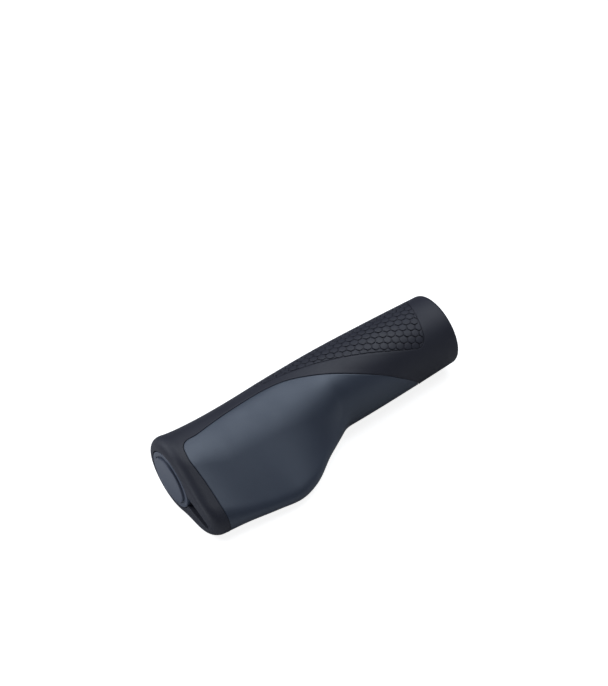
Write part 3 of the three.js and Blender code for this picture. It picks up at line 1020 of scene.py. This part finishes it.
def grained_material(name, colour, grains, grain_height, roughness, shade_change):
    """A moulded rubber or plastic: its colour changes slowly over the surface, its roughness with
    it, and a fine grain gives the bump. Returns the material and its Principled BSDF."""
    material = bpy.data.materials.new(name)
    material.use_nodes = True
    nodes, links = material.node_tree.nodes, material.node_tree.links
    shader = nodes["Principled BSDF"]
    coordinates = nodes.new("ShaderNodeTexCoord")
    grain = nodes.new("ShaderNodeGroup")
    grain.node_tree = moulded_grain()
    grain.inputs["Grains per metre"].default_value = grains
    links.new(coordinates.outputs["Object"], grain.inputs["Vector"])

    def spread(middle, change):
        """The slow change of shade as a value that much above and below a middle."""
        node = nodes.new("ShaderNodeMapRange")
        node.inputs["From Min"].default_value = NOISE_LOW
        node.inputs["From Max"].default_value = NOISE_HIGH
        node.inputs["To Min"].default_value = middle - change
        node.inputs["To Max"].default_value = middle + change
        links.new(grain.outputs["Shade"], node.inputs["Value"])
        return node.outputs["Result"]

    scaled = nodes.new("ShaderNodeVectorMath")
    scaled.operation = "SCALE"
    scaled.inputs[0].default_value = colour
    links.new(spread(1.0, shade_change), scaled.inputs["Scale"])
    links.new(scaled.outputs["Vector"], shader.inputs["Base Color"])
    links.new(spread(roughness, ROUGHNESS_CHANGE), shader.inputs["Roughness"])

    bump = nodes.new("ShaderNodeBump")
    bump.inputs["Distance"].default_value = grain_height
    bump.inputs["Strength"].default_value = 1.0
    links.new(grain.outputs["Height"], bump.inputs["Height"])
    links.new(bump.outputs["Normal"], shader.inputs["Normal"])
    return material, shader


def black_rubber():
    """Matt black rubber of the body."""
    name = "moulded_black_rubber"
    if name in bpy.data.materials:
        return bpy.data.materials[name]
    colour = bpy.context.scene.grip_colours.body
    material, shader = grained_material(
        name, colour, grains=2600.0, grain_height=0.00002, roughness=0.6, shade_change=0.06
    )
    shader.inputs["Specular IOR Level"].default_value = 0.55
    return material


def palm_rubber():
    """Soft blue-grey rubber of the palm pad."""
    colour = bpy.context.scene.grip_colours.pad
    material, shader = grained_material(
        "soft_palm_rubber",
        colour,
        grains=2200.0,
        grain_height=0.000015,
        roughness=0.5,
        shade_change=0.04,
    )
    shader.inputs["Specular IOR Level"].default_value = 0.95
    shader.inputs["Specular Tint"].default_value = (0.82, 0.9, 1.0, 1.0)
    return material


def plug_plastic():
    """Satin dark plastic of the end plug."""
    colour = bpy.context.scene.grip_colours.plug
    material, _ = grained_material(
        "satin_plug_plastic",
        colour,
        grains=1800.0,
        grain_height=0.00001,
        roughness=0.45,
        shade_change=0.04,
    )
    return material


class GRIP_OT_body(Operator):
    """Black rubber body, with its bore, its plug seat and the pocket in its end face"""

    bl_idname = "grip.body"
    bl_label = "Body"

    def execute(self, context):
        grid = body_surface()
        faces = (ring_faces(*grid.shape[:2]),)
        new_piece("body_shell", grid, faces, black_rubber(), replaces="grip_body")
        return {"FINISHED"}


class GRIP_OT_edges(Operator):
    """Lip round the palm pad and edge round the honeycomb field"""

    bl_idname = "grip.edges"
    bl_label = "Pad lip and field edge"

    def execute(self, context):
        sizes = context.scene.grip_sizes
        strips = (
            ("pad_lip", pad_outline(), pad_rim_profile(sizes.lip_height / MM)),
            ("field_edge", field_outline(), field_rim_profile(sizes.cell_depth / MM)),
        )
        for name, outline, profile in strips:
            grid = edge_strip(outline, profile)
            faces = (ring_faces(*grid.shape[:2]),)
            new_piece(name, grid, faces, black_rubber(), sharp_angle=60.0)
        return {"FINISHED"}


class GRIP_OT_honeycomb(Operator):
    """Raised cells of the honeycomb field"""

    bl_idname = "grip.honeycomb"
    bl_label = "Honeycomb cells"

    def execute(self, context):
        sizes = context.scene.grip_sizes
        pitch, groove, depth = sizes.cell_pitch / MM, sizes.cell_groove / MM, sizes.cell_depth / MM
        points, *faces = honeycomb_cells(pitch, groove, depth)
        new_piece("honeycomb_cells", points, faces, black_rubber(), sharp_angle=50.0)
        return {"FINISHED"}


class GRIP_OT_pad(Operator):
    """Soft palm pad let into the wing"""

    bl_idname = "grip.pad"
    bl_label = "Palm pad"

    def execute(self, context):
        sizes = context.scene.grip_sizes
        grids = pad_surface(sizes.pad_gap / MM, sizes.pad_edge / MM, sizes.pad_thickness / MM)
        faces = (slab_faces(*grids.shape[1:3]),)
        new_piece("palm_pad_inlay", grids, faces, palm_rubber(), replaces="palm_pad")
        return {"FINISHED"}


class GRIP_OT_plug(Operator):
    """Round plug in the outer end"""

    bl_idname = "grip.plug"
    bl_label = "End plug"

    def execute(self, context):
        points, *faces = revolved(plug_profile())
        new_piece("outer_plug", points, faces, plug_plastic(), replaces="end_plug")
        return {"FINISHED"}


def soft_light(name, place_mm, size_mm, watts):
    """A cool white area lamp that faces the grip."""
    lamp = bpy.data.lights.new(name, "AREA")
    lamp.shape = "RECTANGLE"
    lamp.size, lamp.size_y = (side * MM for side in size_mm)
    lamp.energy = watts
    lamp.color = COOL_WHITE
    holder = bpy.data.objects.new(name, lamp)
    spot = Vector(place_mm) * MM
    facing = (spot - Vector(LAMP_AIM) * MM).to_track_quat("Z", "Y")
    holder.matrix_world = Matrix.Translation(spot) @ facing.to_matrix().to_4x4()
    bpy.context.scene.collection.objects.link(holder)


def pale_floor(height):
    """A wide pale floor whose colour reads as white to the camera and keeps the grip's shadow."""
    half = FLOOR_HALF_WIDTH
    sides = ((-half, -half), (half, -half), (half, half), (-half, half))
    mesh = bpy.data.meshes.new("floor")
    mesh.from_pydata([(x, y, height) for x, y in sides], [], [(0, 1, 2, 3)])
    material = bpy.data.materials.new("pale_floor")
    material.use_nodes = True
    nodes, links = material.node_tree.nodes, material.node_tree.links
    shader = nodes["Principled BSDF"]
    shader.inputs["Base Color"].default_value = (FLOOR_SHADE, FLOOR_SHADE, FLOOR_SHADE, 1.0)
    shader.inputs["Roughness"].default_value = 0.9
    shader.inputs["Specular IOR Level"].default_value = 0.2
    light_path = nodes.new("ShaderNodeLightPath")
    glow = nodes.new("ShaderNodeMath")
    glow.operation = "MULTIPLY"
    glow.inputs[1].default_value = FLOOR_GLOW
    links.new(light_path.outputs["Is Camera Ray"], glow.inputs[0])
    shader.inputs["Emission Color"].default_value = (1.0, 1.0, 1.0, 1.0)
    links.new(glow.outputs["Value"], shader.inputs["Emission Strength"])
    mesh.materials.append(material)
    floor = bpy.data.objects.new("floor", mesh)
    bpy.context.scene.collection.objects.link(floor)


def studio_world():
    """Even grey light from all sides, which the camera sees as white."""
    world = bpy.data.worlds.new("studio")
    world.use_nodes = True
    nodes, links = world.node_tree.nodes, world.node_tree.links
    background = nodes["Background"]
    background.inputs["Color"].default_value = (1.0, 1.0, 1.0, 1.0)
    light_path = nodes.new("ShaderNodeLightPath")
    seen = nodes.new("ShaderNodeMath")
    seen.operation = "MAXIMUM"
    links.new(light_path.outputs["Is Camera Ray"], seen.inputs[0])
    links.new(light_path.outputs["Is Transmission Ray"], seen.inputs[1])
    strength = nodes.new("ShaderNodeMapRange")
    strength.inputs["To Min"].default_value = ROOM_LIGHT
    strength.inputs["To Max"].default_value = 1.0
    links.new(seen.outputs["Value"], strength.inputs["Value"])
    links.new(strength.outputs["Result"], background.inputs["Strength"])
    bpy.context.scene.world = world


def photo_camera():
    """Camera at the photograph's place, aimed, rolled and with the photograph's field of view."""
    data = bpy.data.cameras.new("photo_camera")
    data.sensor_fit = "HORIZONTAL"
    data.sensor_width = SENSOR_WIDTH
    data.lens = SENSOR_WIDTH * FOCAL_PIXELS / PHOTO_WIDTH
    data.clip_start = 0.01
    data.clip_end = 50.0
    camera = bpy.data.objects.new("photo_camera", data)
    spot = Vector(CAMERA_PLACE) * MM
    facing = (spot - Vector(CAMERA_AIM) * MM).to_track_quat("Z", "Y").to_matrix().to_4x4()
    roll = Matrix.Rotation(math.radians(-CAMERA_ROLL), 4, "Z")
    camera.matrix_world = Matrix.Translation(spot) @ facing @ roll
    bpy.context.scene.collection.objects.link(camera)
    bpy.context.scene.camera = camera


class GRIP_OT_stage(Operator):
    """Floor, soft light and camera"""

    bl_idname = "grip.stage"
    bl_label = "Stage"

    def execute(self, context):
        photo_camera()
        pale_floor(CAD_BOX[0][2] - 0.0001)
        studio_world()
        for lamp in LAMPS:
            soft_light(*lamp)
        context.scene.view_settings.view_transform = "Standard"
        return {"FINISHED"}


class GRIP_PT_panel(Panel):
    """Sizes, colours and pieces of the handlebar grip"""

    bl_idname = "GRIP_PT_panel"
    bl_label = "Handlebar grip"
    bl_space_type = "VIEW_3D"
    bl_region_type = "UI"
    bl_category = "Grip"

    def draw(self, context):
        for group in (context.scene.grip_sizes, context.scene.grip_colours):
            for name in group.bl_rna.properties.keys():
                if name not in {"rna_type", "name"}:
                    self.layout.prop(group, name)
        for operator in OPERATORS:
            self.layout.operator(operator.bl_idname)


OPERATORS = (
    GRIP_OT_body,
    GRIP_OT_edges,
    GRIP_OT_honeycomb,
    GRIP_OT_pad,
    GRIP_OT_plug,
    GRIP_OT_stage,
)
CLASSES = (GripSizes, GripColours, *OPERATORS, GRIP_PT_panel)


def register():
    """Registers the classes and gives each scene its sizes and colours."""
    for item in CLASSES:
        bpy.utils.register_class(item)
    bpy.types.Scene.grip_sizes = PointerProperty(type=GripSizes)
    bpy.types.Scene.grip_colours = PointerProperty(type=GripColours)


def unregister():
    """Takes the sizes, the colours and the classes away again."""
    del bpy.types.Scene.grip_colours
    del bpy.types.Scene.grip_sizes
    for item in reversed(CLASSES):
        bpy.utils.unregister_class(item)


def main():
    """Builds the pieces and the stage in order."""
    register()
    bpy.ops.grip.body()
    bpy.ops.grip.edges()
    bpy.ops.grip.honeycomb()
    bpy.ops.grip.pad()
    bpy.ops.grip.plug()
    bpy.ops.grip.stage()


if __name__ == "__main__":
    main()
